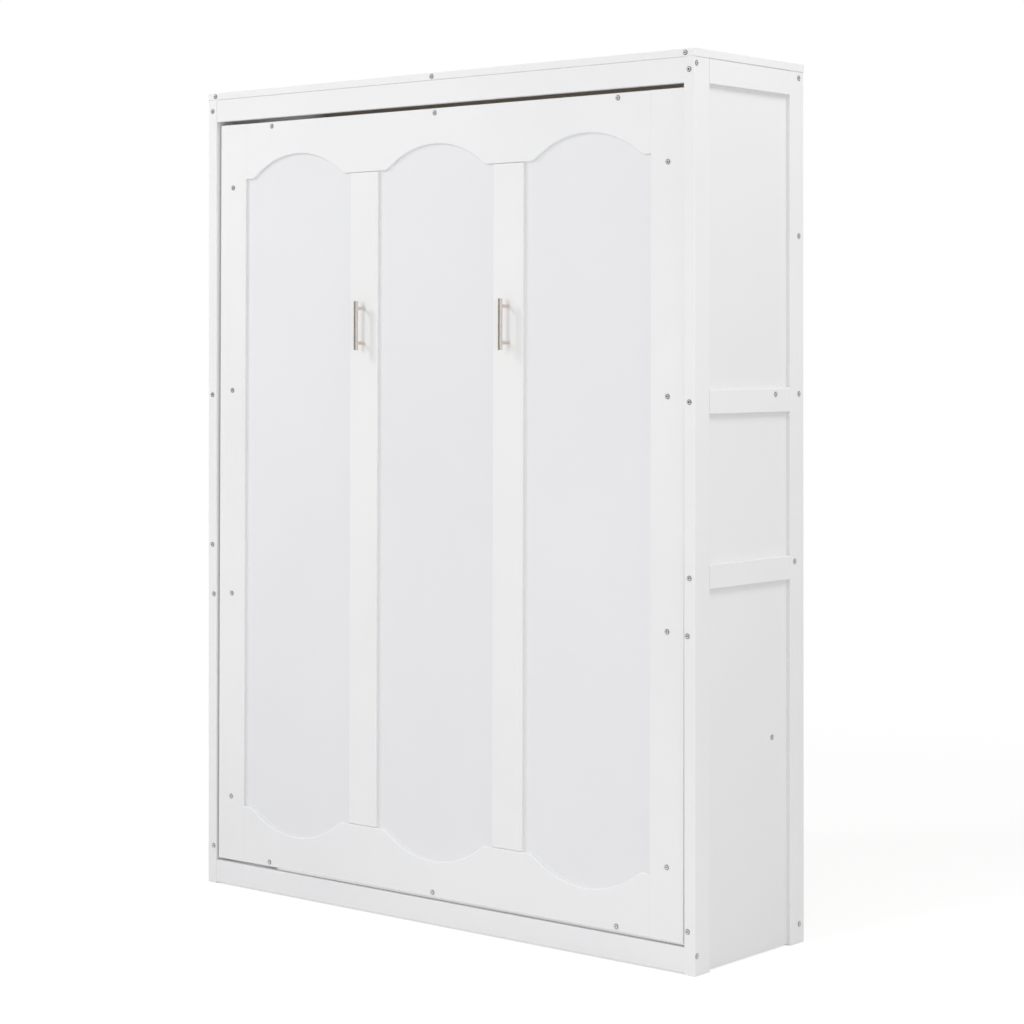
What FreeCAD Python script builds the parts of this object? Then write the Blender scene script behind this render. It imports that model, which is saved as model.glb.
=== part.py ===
import FreeCAD, Part
import math
import os
from FreeCAD import Vector

# A wall bed: a slatted bed behind a panelled front that folds up into a timber cabinet.
# Millimetres, +X to the right, +Y from the front into the cabinet, +Z up.
# The pieces are laid out with y = 0 at the front faces of the posts, and moved to the
# object's own origin, the middle of its footprint, at the end.

# Cabinet timbers
cabinet_width = 1738.0          # over the outer faces of the posts
cabinet_height = 2290.0
cabinet_depth = 486.0
post_width = 33.0
post_depth = 64.0
rail_height = 64.0
upper_rail_level = 1415.0       # centre of the upper middle side rails
lower_rail_level = 980.0        # centre of the lower middle side rails
board_thickness = 20.0          # top, header, plinth and the rails behind the mattress
back_rail_thickness = 36.0
top_overhang = 2.0
top_strip_depth = 40.0
edge_radius = 2.0               # rounded edges of the timbers
soft_edge_radius = 4.0          # edges of the door's arches and of the rails between the side panels
front_setback = 2.0             # header and plinth behind the front of the posts
floor_gap = 3.0                 # under the plinth, the pivot boards and the lowest back rail

# Cabinet panels and inner rails
panel_recess = 12.0             # side panels and pivot boards behind the posts' outer faces
side_panel_thickness = 9.0
groove_depth = 8.0
back_panel_thickness = 4.0
low_back_rail_step = 20.0       # the back rail at the lower side rails stands this far forward
mattress_rail_setback = 130.0   # centre of the two rails behind the mattress, from the back
low_mattress_rail_level = 532.0
wall_hole_inset = 236.0         # from the inner faces of the posts
wall_hole_radius = 4.0

# Bolts: low socket heads on the face of the first piece, shank into the second piece
bolt_radius = 3.0
bolt_hole_clearance = 0.3
bolt_head_radius = 7.0
bolt_crown_radius = 5.5
bolt_head_height = 2.4
bolt_reach = 36.0               # length in the second piece
cross_bolt_offset = 15.0        # bolts along X sit this far above the centre of their rail
header_bolt_inset = 9.0         # behind the posts' front faces
strip_bolt_inset = 30.0         # outer bolts of the top strip, from its ends
board_bolt_low_inset = 105.0    # from the lower end of the pivot board
board_bolt_high_inset = 111.0   # from the upper end of the pivot board

# Countersunk wood screws of the steel plates
screw_radius = 2.5
screw_head_radius = 5.0
screw_head_depth = 2.5
screw_length = 18.0
screw_inset = 15.0              # from the edges of a plate

# Bed front
front_gap_side = 5.5
front_gap_bottom = 8.0
front_gap_top = 11.0
front_recess = 5.0              # behind the posts' front faces, at the height of the pivot
frame_thickness = 18.0
stile_width = 104.0
mullion_width = 104.0
door_rail_height = 160.0        # at the shoulders of the arches
arch_rise = 64.0
arch_shoulder = 20.0            # flat beside each arch
arch_fillet = 30.0
panel_set_in = 8.0              # door panels behind the face of the frame
panel_thickness = 10.0
panel_lap = 12.0
mullion_end_gap = 0.6           # seam between a mullion and the door rails
rail_joint_gap = 0.2            # fine seam between a door rail and a stile
stile_bolt_inset = 182.0        # first and last stile bolt, from the ends of the stile
stile_bolt_count = 4
rail_bolt_inset = 105.0         # outer bolts of the door rails, from the stiles

# Mattress box behind the front
mechanism_gap = 44.5            # between the cabinet wall and the side rail of the bed
box_rail_thickness = 25.0
box_depth = 180.0
ledge_width = 30.0
slat_bearer_depth = 42.0        # ledges and centre beam, from the door to the slats
beam_width = 40.0
slat_count = 14
slat_width = 70.0
slat_thickness = 18.0
slat_end_gap = 0.5

# Bar handles
handle_level = 1536.0           # middle of the bar above the lower edge of the front
handle_bar_radius = 6.0
handle_bar_length = 136.0
handle_bar_chamfer = 1.0
handle_post_radius = 5.0
handle_post_spacing = 96.0
handle_stand_off = 32.0         # centre of the bar in front of the door frame

# Fold: the pivot studs, their plates and brackets
pivot_depth = 80.0
pivot_level = 300.0
rest_lean = 0.23                # degrees that the closed bed leans back
open_angle = 90.0               # degrees from upright to level
running_clearance = 0.08
axial_clearance = 0.5
plate_thickness = 5.0
plate_corner = 12.0
stud_radius = 10.0
collar_radius = 15.0
boss_radius = 18.0
boss_length = 16.0
pivot_plate_margin = 36.0       # in front of and below the stud
pivot_plate_reach = 105.0       # behind and above the stud
bracket_gap = 5.7               # bracket behind the back of the door frame
bracket_back = 90.0
bracket_top = 90.0
bracket_bottom = 190.0
stop_width = 24.0
stop_height = 60.0
stop_drop = 85.0                # top of a stop block below the top of the front
stop_gap = 0.3

# Gas struts
strut_arm = 150.0               # from the pivot to the strut's lower pin
strut_arm_angle = 10.0          # degrees behind straight down, with the bed upright
strut_anchor_depth = 330.0
strut_anchor_level = 730.0
anchor_half_width = 35.0
anchor_half_height = 45.0
strut_pin_radius = 5.0
strut_pin_head_radius = 8.0
strut_pin_head = 2.0
strut_eye_radius = 12.0
strut_eye_width = 12.0
strut_tube_radius = 14.0
strut_tube_wall = 2.0
strut_neck_radius = 6.0
strut_tube_start = 18.0         # from the centre of the fixed eye
strut_gland = 12.0
strut_end_gap = 8.0             # tube to moving eye when the strut is pressed in
strut_rod_radius = 5.0
strut_piston_length = 10.0
strut_piston_gap = 0.3
strut_reserve = 15.0            # piston to gland when the strut is drawn out
strut_pin_gap = 0.3             # moving pin to the face of the bed bracket

# Legs
leg_pivot_inset = 66.5          # from the ends of the foot rail
leg_setback = 100.0             # behind the posts' front faces
leg_width = 36.0
leg_thickness = 6.0
leg_corner = 4.0
leg_collar_height = 2.3
leg_collar_radius = 10.0
leg_bolt_radius = 5.0
leg_bolt_reach = 22.0
leg_bolt_head_radius = 8.7
leg_bolt_head_depth = 3.5
leg_side_clearance = 0.2
leg_floor_clearance = 0.5

same_place = 0.001              # coordinates nearer than this count as equal

# Planes and levels that several pieces share
side_face = cabinet_width / 2
wall_inner = side_face - post_width
wall_centre = side_face - post_width / 2
panel_face = side_face - panel_recess
board_centre = (wall_inner + panel_face) / 2
back_post_front = cabinet_depth - post_depth
carcase_top = cabinet_height - board_thickness
top_rail_level = carcase_top - rail_height / 2
plinth_top = floor_gap + rail_height
base_rail_level = floor_gap + rail_height / 2
high_back_rail_level = (upper_rail_level + top_rail_level) / 2
board_top = lower_rail_level - rail_height / 2
back_rail_back = cabinet_depth - back_panel_thickness
back_rail_front = back_rail_back - back_rail_thickness
mattress_rail_centre = cabinet_depth - mattress_rail_setback
front_half_width = wall_inner - front_gap_side
door_rail_half = front_half_width - stile_width
front_bottom = plinth_top + front_gap_bottom
front_top = carcase_top - rail_height - front_gap_top
frame_back = front_recess + frame_thickness
box_back = frame_back + box_depth
rail_outer = wall_inner - mechanism_gap
rail_inner = rail_outer - box_rail_thickness
rail_centre = (rail_outer + rail_inner) / 2
plate_face = wall_inner - plate_thickness
bracket_face = rail_outer + plate_thickness
strut_plane = (plate_face + bracket_face) / 2

along_x = Vector(1, 0, 0)
along_y = Vector(0, 1, 0)
along_z = Vector(0, 0, 1)
hands = ((-1, "left"), (1, "right"))
pieces = {}
groups = {"cabinet_bolts": [], "bracket_screws": [], "bed_bolts": [], "leg_bolts": []}


def block(x_ends, y_ends, z_ends):
    """Box between two values on each axis, given in either order."""
    low = Vector(min(x_ends), min(y_ends), min(z_ends))
    high = Vector(max(x_ends), max(y_ends), max(z_ends))
    size = high - low
    return Part.makeBox(size.x, size.y, size.z, low)


def rounded_along(axis, shape, radius):
    """Block with its four edges along an axis rounded."""
    along = []
    for edge in shape.Edges:
        direction = edge.tangentAt(edge.FirstParameter)
        if direction.cross(axis).Length < same_place:
            along.append(edge)
    return shape.makeFillet(radius, along)


def edges_at(shape, x=None, y=None, z=None):
    """Edges of a shape whose ends lie at the given coordinates."""
    wanted = [(index, value) for index, value in enumerate((x, y, z)) if value is not None]
    found = []
    for edge in shape.Edges:
        ends = [vertex.Point for vertex in edge.Vertexes]
        if all(abs(point[index] - value) < same_place for point in ends for index, value in wanted):
            found.append(edge)
    return found


def cut_from(names, tool):
    for name in names:
        pieces[name] = pieces[name].cut(tool)


def bolt(group, face, direction, first_thickness, names, sunk=False):
    """Bolt with its head on a face, or sunk flush with it, and its hole through the named pieces."""
    length = first_thickness + bolt_reach
    head = face + direction * bolt_head_height if sunk else face
    shank = Part.makeCylinder(bolt_radius, length, head, direction)
    crown = Part.makeCone(bolt_head_radius, bolt_crown_radius, bolt_head_height, head, direction * -1)
    hole_radius = bolt_radius + bolt_hole_clearance
    cut_from(names, Part.makeCylinder(hole_radius, length + bolt_hole_clearance, head, direction))
    if sunk:
        pocket_radius = bolt_head_radius + bolt_hole_clearance
        cut_from(names, Part.makeCylinder(pocket_radius, bolt_head_height, face, direction))
    groups[group].append(shank.fuse(crown))


def screw(group, head, direction, names):
    """Countersunk screw flush with the first piece; the named pieces are cut to its shape."""
    shank = Part.makeCylinder(screw_radius, screw_length, head, direction)
    cone = Part.makeCone(screw_head_radius, screw_radius, screw_head_depth, head, direction)
    solid = shank.fuse(cone)
    cut_from(names, solid)
    groups[group].append(solid)


def side_walls():
    """Posts, side rails, panels and pivot board of both sides."""
    between_posts = (post_depth, back_post_front)
    post_depths = {
        "_front_post": (0, post_depth),
        "_back_post": (back_post_front, cabinet_depth),
    }
    side_rails = (
        ("top_side_rail", (top_rail_level,), edge_radius),
        ("mid_side_rails", (upper_rail_level, lower_rail_level), soft_edge_radius),
    )
    for side, hand in hands:
        across = (side * wall_inner, side * side_face)
        height = (0, carcase_top)
        for name, depth in post_depths.items():
            pieces[hand + name] = rounded_along(along_z, block(across, depth, height), edge_radius)
        for name, levels, radius in side_rails:
            bars = [block(across, between_posts, rail_span(level)) for level in levels]
            rails = [rounded_along(along_y, bar, radius) for bar in bars]
            pieces[hand + "_" + name] = Part.makeCompound(rails)
        board_across = (side * wall_inner, side * panel_face)
        pieces[hand + "_pivot_board"] = block(board_across, between_posts, (floor_gap, board_top))
        side_panels(side, hand)


def rail_span(level):
    return (level - rail_height / 2, level + rail_height / 2)


def side_panels(side, hand):
    """Two sheets in grooves of the posts and rails."""
    across = (side * panel_face, side * (panel_face - side_panel_thickness))
    depth = (post_depth - groove_depth, back_post_front + groove_depth)
    fields = ((lower_rail_level, upper_rail_level), (upper_rail_level, top_rail_level))
    sheets = []
    for low_level, high_level in fields:
        bottom = low_level + rail_height / 2 - groove_depth
        top = high_level - rail_height / 2 + groove_depth
        sheets.append(block(across, depth, (bottom, top)))
    panels = Part.makeCompound(sheets)
    framing = ("front_post", "back_post", "top_side_rail", "mid_side_rails")
    cut_from([hand + "_" + name for name in framing], panels)
    pieces[hand + "_side_panels"] = panels


def side_bolts():
    """Bolts along Y through the posts into the side rails and the pivot boards, sunk at the back."""
    joints = [("top_side_rail", wall_centre, top_rail_level)]
    joints.append(("mid_side_rails", wall_centre, upper_rail_level))
    joints.append(("mid_side_rails", wall_centre, lower_rail_level))
    for level in (floor_gap + board_bolt_low_inset, board_top - board_bolt_high_inset):
        joints.append(("pivot_board", board_centre, level))
    for side, hand in hands:
        for piece, x, level in joints:
            front = Vector(side * x, 0, level)
            names = (hand + "_front_post", hand + "_" + piece)
            bolt("cabinet_bolts", front, along_y, post_depth, names)
            back = Vector(side * x, cabinet_depth, level)
            names = (hand + "_back_post", hand + "_" + piece)
            bolt("cabinet_bolts", back, along_y * -1, post_depth, names, sunk=True)


def cross_rail(name, y_ends, level):
    """Rail between the two sides of the cabinet."""
    bar = block((-wall_inner, wall_inner), y_ends, rail_span(level))
    pieces[name] = rounded_along(along_x, bar, edge_radius)


def cross_bolts(name, carrier, face, depth, level):
    """One bolt along X into each end of a cross rail, through the piece that carries it."""
    thickness = face - wall_inner
    for side, hand in hands:
        head = Vector(side * face, depth, level + cross_bolt_offset)
        bolt("cabinet_bolts", head, along_x * -side, thickness, (hand + "_" + carrier, name))


def front_rails():
    """Header above and plinth below the bed front."""
    depth = (front_setback, front_setback + board_thickness)
    for name, level in (("header_rail", top_rail_level), ("plinth_rail", base_rail_level)):
        cross_rail(name, depth, level)
        cross_bolts(name, "front_post", side_face, header_bolt_inset, level)


def back_wall():
    """Five rails between the back posts, and two thin panels side by side behind the lower three."""
    levels = {
        "back_bottom_rail": base_rail_level,
        "back_low_rail": lower_rail_level,
        "back_middle_rail": upper_rail_level,
        "back_high_rail": high_back_rail_level,
        "back_top_rail": top_rail_level,
    }
    for name, level in levels.items():
        step = low_back_rail_step if name == "back_low_rail" else 0
        depth = (back_rail_front - step, back_rail_back - step)
        cross_rail(name, depth, level)
        cross_bolts(name, "back_post", side_face, sum(depth) / 2, level)
    sheet_depth = (back_rail_back, cabinet_depth)
    sheet_height = (floor_gap, upper_rail_level)
    sheets = [block((0, side * wall_inner), sheet_depth, sheet_height) for side, hand in hands]
    pieces["back_panels"] = Part.makeCompound(sheets)
    for side, hand in hands:
        start = Vector(side * (wall_inner - wall_hole_inset), back_rail_front, top_rail_level)
        hole = Part.makeCylinder(wall_hole_radius, back_rail_thickness, start, along_y)
        cut_from(("back_top_rail",), hole)


def mattress_rails():
    """Two rails across the inside, behind the mattress of the closed bed."""
    depth = (mattress_rail_centre - board_thickness / 2, mattress_rail_centre + board_thickness / 2)
    rails = (
        ("upper_mattress_rail", "mid_side_rails", side_face, upper_rail_level),
        ("lower_mattress_rail", "pivot_board", panel_face, low_mattress_rail_level),
    )
    for name, carrier, face, level in rails:
        cross_rail(name, depth, level)
        cross_bolts(name, carrier, face, mattress_rail_centre, level)


def top():
    """Top board with a strip bolted along its front edge."""
    half_width = side_face + top_overhang
    height = (carcase_top, cabinet_height)
    board = block((-half_width, half_width), (top_strip_depth, cabinet_depth), height)
    ends = edges_at(board, x=-half_width, z=cabinet_height) + edges_at(board, x=half_width, z=cabinet_height)
    pieces["top_board"] = board.makeFillet(edge_radius, ends)
    strip = block((-half_width, half_width), (0, top_strip_depth), height)
    front = edges_at(strip, y=0, z=carcase_top) + edges_at(strip, y=0, z=cabinet_height)
    corners = edges_at(strip, x=-half_width, y=0) + edges_at(strip, x=half_width, y=0)
    pieces["top_front_strip"] = strip.makeFillet(edge_radius, front + corners)
    outer_bolt = half_width - strip_bolt_inset
    for x in (-outer_bolt, 0, outer_bolt):
        head = Vector(x, 0, carcase_top + board_thickness / 2)
        bolt("cabinet_bolts", head, along_y, top_strip_depth, ("top_front_strip", "top_board"))


def plate_screws(hand, side, plate, backing, y_places, z_places):
    """Screws through a steel plate on the cabinet wall."""
    names = [hand + "_" + name for name in (plate,) + backing]
    for y in y_places:
        for z in z_places:
            screw("bracket_screws", Vector(side * plate_face, y, z), along_x * side, names)


def pivot_plates():
    """Steel plate on each wall with the collared stud that the bed turns on."""
    y_ends = (pivot_depth - pivot_plate_margin, pivot_depth + pivot_plate_reach)
    z_ends = (pivot_level - pivot_plate_margin, pivot_level + pivot_plate_reach)
    y_screws = (y_ends[0] + screw_inset, y_ends[1] - screw_inset)
    z_screws = (z_ends[0] + screw_inset, sum(z_ends) / 2, z_ends[1] - screw_inset)
    collar_length = plate_face - bracket_face - boss_length - axial_clearance
    stud_length = plate_face - rail_outer - axial_clearance
    for side, hand in hands:
        sheet = block((side * wall_inner, side * plate_face), y_ends, z_ends)
        plate = rounded_along(along_x, sheet, plate_corner)
        foot = Vector(side * plate_face, pivot_depth, pivot_level)
        inward = along_x * -side
        collar = Part.makeCylinder(collar_radius, collar_length, foot, inward)
        stud = Part.makeCylinder(stud_radius, stud_length, foot, inward)
        pieces[hand + "_pivot_plate"] = plate.fuse([collar, stud]).removeSplitter()
        plate_screws(hand, side, "pivot_plate", ("pivot_board", "front_post"), y_screws, z_screws)


def strut_anchors():
    """Small plate on each wall with the headed pin of the gas strut."""
    y_ends = (strut_anchor_depth - anchor_half_width, strut_anchor_depth + anchor_half_width)
    z_ends = (strut_anchor_level - anchor_half_height, strut_anchor_level + anchor_half_height)
    y_screws = (y_ends[0] + screw_inset, y_ends[1] - screw_inset)
    z_screws = (z_ends[0] + screw_inset, z_ends[1] - screw_inset)
    pin_length = plate_face - strut_plane + strut_eye_width / 2 + axial_clearance
    for side, hand in hands:
        sheet = block((side * wall_inner, side * plate_face), y_ends, z_ends)
        plate = rounded_along(along_x, sheet, plate_corner)
        foot = Vector(side * plate_face, strut_anchor_depth, strut_anchor_level)
        inward = along_x * -side
        pin = Part.makeCylinder(strut_pin_radius, pin_length, foot, inward)
        head_seat = foot + inward * pin_length
        head = Part.makeCylinder(strut_pin_head_radius, strut_pin_head, head_seat, inward)
        pieces[hand + "_strut_anchor"] = plate.fuse([pin, head]).removeSplitter()
        plate_screws(hand, side, "strut_anchor", ("pivot_board", "back_post"), y_screws, z_screws)


def door_stops():
    """Block on each front post that the upper corner of the closed front leans on."""
    top_level = front_top - stop_drop
    lean_at_top = (top_level - pivot_level) * math.tan(math.radians(rest_lean))
    front = frame_back + lean_at_top + stop_gap
    height = (top_level - stop_height, top_level)
    stops = []
    for side, hand in hands:
        across = (side * wall_inner, side * (wall_inner - stop_width))
        stops.append(block(across, (front, post_depth), height))
    pieces["door_stops"] = Part.makeCompound(stops)


def arched_edge(centre, edge_level, rise_sign, half_opening):
    """Arch in the edge of a door rail: a fillet, the arch and a fillet, from left to right."""
    run = half_opening - arch_shoulder
    centre_distance = (run ** 2 / arch_rise + arch_rise) / 2
    radius = centre_distance - arch_fillet
    slope = math.asin(run / centre_distance)

    def point(x, rise):
        return Vector(centre + x, front_recess, edge_level + rise_sign * rise)

    def fillet_point(angle):
        return run - arch_fillet * math.sin(angle), arch_fillet * (1 - math.cos(angle))

    start = point(-run, 0)
    end = point(run, 0)
    crown = point(0, arch_rise)
    x_tangent, rise_tangent = fillet_point(slope)
    x_middle, rise_middle = fillet_point(slope / 2)
    left_fillet = Part.Arc(start, point(-x_middle, rise_middle), point(-x_tangent, rise_tangent))
    arch = Part.Arc(point(-x_tangent, rise_tangent), crown, point(x_tangent, rise_tangent))
    right_fillet = Part.Arc(point(x_tangent, rise_tangent), point(x_middle, rise_middle), end)
    return start, end, [left_fillet.toShape(), arch.toShape(), right_fillet.toShape()]


def door_rail(outer_level, inner_level, half_length, centres, half_opening):
    """Door rail with an arch over each panel: one outline drawn out, with its long front edges rounded."""
    rise_sign = 1 if outer_level > inner_level else -1
    place = Vector(-half_length, front_recess, inner_level)
    edges = []
    for centre in centres:
        start, end, arch = arched_edge(centre, inner_level, rise_sign, half_opening)
        edges.append(Part.LineSegment(place, start).toShape())
        edges.extend(arch)
        place = end
    corners = [place, Vector(half_length, front_recess, inner_level)]
    corners.append(Vector(half_length, front_recess, outer_level))
    corners.append(Vector(-half_length, front_recess, outer_level))
    corners.append(Vector(-half_length, front_recess, inner_level))
    for first, second in zip(corners, corners[1:]):
        edges.append(Part.LineSegment(first, second).toShape())
    rail = Part.Face(Part.Wire(edges)).extrude(along_y * frame_thickness)
    others = edges_at(rail, x=-half_length) + edges_at(rail, x=half_length) + edges_at(rail, z=outer_level)
    front_edges = edges_at(rail, y=front_recess)
    arched_edges = [edge for edge in front_edges if not any(edge.isSame(other) for other in others)]
    rail = rail.makeFillet(soft_edge_radius, arched_edges)
    return rail.makeFillet(edge_radius, edges_at(rail, y=front_recess, z=outer_level))


def bed_front():
    """Stiles, arched rails, mullions and the three panels let into their backs."""
    depth = (front_recess, frame_back)
    opening = (2 * door_rail_half - 2 * mullion_width) / 3
    pitch = opening + mullion_width
    centres = (-pitch, 0, pitch)
    low_edge = front_bottom + door_rail_height
    high_edge = front_top - door_rail_height
    half_length = door_rail_half - rail_joint_gap
    pieces["door_top_rail"] = door_rail(front_top, high_edge, half_length, centres, opening / 2)
    pieces["door_bottom_rail"] = door_rail(front_bottom, low_edge, half_length, centres, opening / 2)
    for side, hand in hands:
        stile = block((side * door_rail_half, side * front_half_width), depth, (front_bottom, front_top))
        outer_edge = edges_at(stile, x=side * front_half_width, y=front_recess)
        pieces["door_" + hand + "_stile"] = stile.makeFillet(edge_radius, outer_edge)
        middle = side * pitch / 2
        mullion_ends = (middle - mullion_width / 2, middle + mullion_width / 2)
        mullion = block(mullion_ends, depth, (low_edge + mullion_end_gap, high_edge - mullion_end_gap))
        mullion = mullion.makeFillet(edge_radius, edges_at(mullion, y=front_recess))
        pieces["door_" + hand + "_mullion"] = mullion
        handle(hand, middle)
    panel_front = front_recess + panel_set_in
    panel_depth = (panel_front, panel_front + panel_thickness)
    panel_height = (low_edge - arch_rise - panel_lap, high_edge + arch_rise + panel_lap)
    half_panel = opening / 2 + panel_lap
    framing = [name for name in pieces if name.startswith("door_") and name != "door_stops"]
    for name, centre in zip(("left", "centre", "right"), centres):
        panel = block((centre - half_panel, centre + half_panel), panel_depth, panel_height)
        cut_from(framing, panel)
        pieces["door_" + name + "_panel"] = panel


def handle(hand, x):
    """Round bar with chamfered ends on two round posts."""
    level = front_bottom + handle_level
    bar_front = front_recess - handle_stand_off
    bar_start = Vector(x, bar_front, level - handle_bar_length / 2)
    bar = Part.makeCylinder(handle_bar_radius, handle_bar_length, bar_start)
    ends = edges_at(bar, z=bar_start.z) + edges_at(bar, z=bar_start.z + handle_bar_length)
    bar = bar.makeChamfer(handle_bar_chamfer, ends)
    posts = []
    for offset in (-handle_post_spacing / 2, handle_post_spacing / 2):
        foot = Vector(x, front_recess, level + offset)
        posts.append(Part.makeCylinder(handle_post_radius, handle_stand_off, foot, along_y * -1))
    pieces[hand + "_handle"] = bar.fuse(posts).removeSplitter()


def back_edges(board):
    """Long edges of a mattress box rail on the side that faces the mattress."""
    return [edge for edge in edges_at(board, y=box_back) if edge.Length > 2 * box_rail_thickness]


def mattress_box():
    """Side, head and foot rails behind the front, with ledges, a centre beam and slats."""
    depth = (frame_back, box_back)
    head_end = front_bottom + box_rail_thickness
    foot_end = front_top - box_rail_thickness
    inside = (-rail_inner, rail_inner)
    for name, ends in (("bed_head_rail", (front_bottom, head_end)), ("bed_foot_rail", (foot_end, front_top))):
        board = block(inside, depth, ends)
        pieces[name] = board.makeFillet(edge_radius, back_edges(board))
    bearer_depth = (frame_back, frame_back + slat_bearer_depth)
    length = (head_end, foot_end)
    for side, hand in hands:
        rail = (side * rail_inner, side * rail_outer)
        board = block(rail, depth, (front_bottom, front_top))
        pieces["bed_" + hand + "_rail"] = board.makeFillet(edge_radius, back_edges(board))
        ledge = (side * (rail_inner - ledge_width), side * rail_inner)
        pieces[hand + "_slat_ledge"] = block(ledge, bearer_depth, length)
    pieces["centre_beam"] = block((-beam_width / 2, beam_width / 2), bearer_depth, length)
    slat_front = frame_back + slat_bearer_depth
    slat_across = (-rail_inner + slat_end_gap, rail_inner - slat_end_gap)
    pitch = (foot_end - head_end) / slat_count
    slats = []
    for index in range(slat_count):
        centre = head_end + pitch / 2 + pitch * index
        height = (centre - slat_width / 2, centre + slat_width / 2)
        slat = block(slat_across, (slat_front, slat_front + slat_thickness), height)
        slats.append(rounded_along(along_x, slat, edge_radius))
    pieces["slats"] = Part.makeCompound(slats)


def bed_front_bolts():
    """Bolts through the bed front into the edges of the mattress box."""
    spacing = (front_top - front_bottom - 2 * stile_bolt_inset) / (stile_bolt_count - 1)
    for side, hand in hands:
        names = ("door_" + hand + "_stile", "bed_" + hand + "_rail")
        for index in range(stile_bolt_count):
            head = Vector(side * rail_centre, front_recess, front_bottom + stile_bolt_inset + spacing * index)
            bolt("bed_bolts", head, along_y, frame_thickness, names)
    ends = {
        "bottom": ("bed_head_rail", front_bottom + box_rail_thickness / 2),
        "top": ("bed_foot_rail", front_top - box_rail_thickness / 2),
    }
    for end, (rail, level) in ends.items():
        names = ("door_" + end + "_rail", rail)
        outer_bolt = door_rail_half - rail_bolt_inset
        for x in (-outer_bolt, 0, outer_bolt):
            bolt("bed_bolts", Vector(x, front_recess, level), along_y, frame_thickness, names)


def bed_brackets():
    """Steel bracket on each side rail, with the bored boss that turns on the stud."""
    y_ends = (frame_back + bracket_gap, pivot_depth + bracket_back)
    z_ends = (pivot_level - bracket_bottom, pivot_level + bracket_top)
    y_screws = (y_ends[0] + screw_inset, y_ends[1] - screw_inset)
    z_screws = (z_ends[0] + screw_inset, sum(z_ends) / 2, z_ends[1] - screw_inset)
    for side, hand in hands:
        sheet = block((side * rail_outer, side * bracket_face), y_ends, z_ends)
        plate = rounded_along(along_x, sheet, plate_corner)
        outward = along_x * side
        boss_foot = Vector(side * bracket_face, pivot_depth, pivot_level)
        boss = Part.makeCylinder(boss_radius, boss_length, boss_foot, outward)
        bore_foot = Vector(side * rail_outer, pivot_depth, pivot_level)
        bore_length = plate_thickness + boss_length
        bore = Part.makeCylinder(stud_radius + running_clearance, bore_length, bore_foot, outward)
        name = hand + "_bed_bracket"
        pieces[name] = plate.fuse(boss).removeSplitter().cut(bore)
        for y in y_screws:
            for z in z_screws:
                head = Vector(side * bracket_face, y, z)
                screw("bed_bolts", head, along_x * -side, (name, "bed_" + hand + "_rail"))


def legs():
    """Flat steel legs stowed along the foot end, each on a shouldered countersunk bolt."""
    length = pivot_level + leg_setback - pivot_depth - leg_floor_clearance
    leg_low = front_top + leg_collar_height + leg_side_clearance
    leg_high = leg_low + leg_thickness
    for side, hand in hands:
        x = side * (rail_inner - leg_pivot_inset)
        foot_x = x - side * length
        depth = (leg_setback - leg_width / 2, leg_setback + leg_width / 2)
        bar = block((x, foot_x), depth, (leg_low, leg_high))
        foot_corners = edges_at(bar, x=foot_x, y=depth[0]) + edges_at(bar, x=foot_x, y=depth[1])
        bar = bar.makeChamfer(leg_corner, foot_corners)
        eye_place = Vector(x, leg_setback, leg_low)
        eye = Part.makeCylinder(leg_width / 2, leg_thickness, eye_place)
        bore_radius = leg_bolt_radius + running_clearance
        bore = Part.makeCylinder(bore_radius, leg_thickness, eye_place)
        sink_depth = leg_bolt_head_depth + leg_side_clearance
        sink_radius = leg_bolt_head_radius + 2 * leg_side_clearance
        sink_place = Vector(x, leg_setback, leg_high - sink_depth)
        sink = Part.makeCone(bore_radius, sink_radius, sink_depth, sink_place)
        pieces[hand + "_leg"] = bar.fuse(eye).removeSplitter().cut(bore).cut(sink)
        leg_bolt(Vector(x, leg_setback, front_top), leg_high - leg_side_clearance - leg_bolt_head_depth)


def leg_bolt(seat, head_level):
    """Bolt in the foot rail, with a collar on the rail that keeps the leg clear of it."""
    start = seat - along_z * leg_bolt_reach
    shank = Part.makeCylinder(leg_bolt_radius, head_level - start.z, start)
    collar = Part.makeCylinder(leg_collar_radius, leg_collar_height, seat)
    head_place = Vector(seat.x, seat.y, head_level)
    head = Part.makeCone(leg_bolt_radius, leg_bolt_head_radius, leg_bolt_head_depth, head_place)
    solid = shank.fuse([collar, head]).removeSplitter()
    cut_from(("bed_foot_rail",), solid)
    groups["leg_bolts"].append(solid)


def turned_about_pivot(point, angle):
    """Point of the bed, as (y, z), after the bed turns about its pivot by an angle in degrees."""
    turn = math.radians(angle)
    y = point[0] - pivot_depth
    z = point[1] - pivot_level
    return (pivot_depth + y * math.cos(turn) - z * math.sin(turn),
            pivot_level + y * math.sin(turn) + z * math.cos(turn))


def strut_line(angle):
    """Length of a strut and its angle about X from upright, with the bed at an angle."""
    arm_turn = math.radians(strut_arm_angle)
    upright_pin = (pivot_depth + strut_arm * math.sin(arm_turn), pivot_level - strut_arm * math.cos(arm_turn))
    pin = turned_about_pivot(upright_pin, angle)
    y = pin[0] - strut_anchor_depth
    z = pin[1] - strut_anchor_level
    return math.hypot(y, z), math.degrees(math.atan2(-y, z))


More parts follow.
